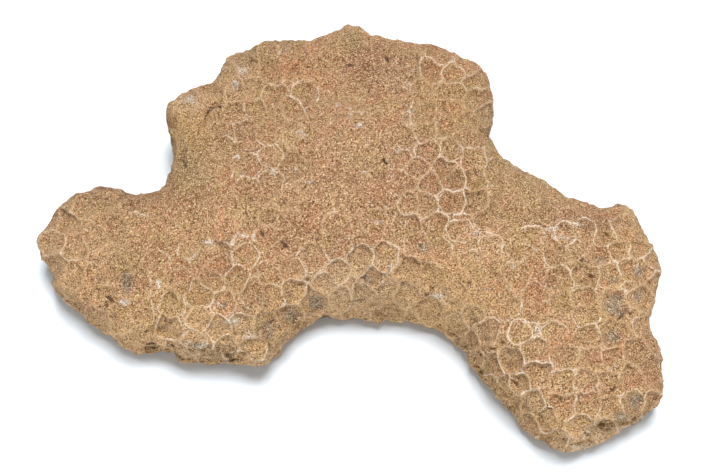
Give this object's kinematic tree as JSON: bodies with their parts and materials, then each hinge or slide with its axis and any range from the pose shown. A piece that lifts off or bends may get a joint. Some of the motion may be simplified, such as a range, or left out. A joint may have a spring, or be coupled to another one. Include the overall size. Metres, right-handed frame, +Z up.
{
  "type": "fossil coral head",
  "caption": "Lobed, arch-shaped fossil coral colony covered in honeycomb cups, lying on a flat cut.",
  "frame": {"origin": "middle of the box round the colony, on the flat cut it rests on", "axes": "+Z up from the cut, +X along the length towards the right leg, -Y towards the open bay between the legs"},
  "size_m": [0.14, 0.0986, 0.0347],
  "materials": {
    "coral_limestone": "dry, sandy, tan to ochre, with paler cup walls"
  },
  "bodies": {
    "root": {"coral_head": "coral_limestone"}
  },
  "joints": []
}
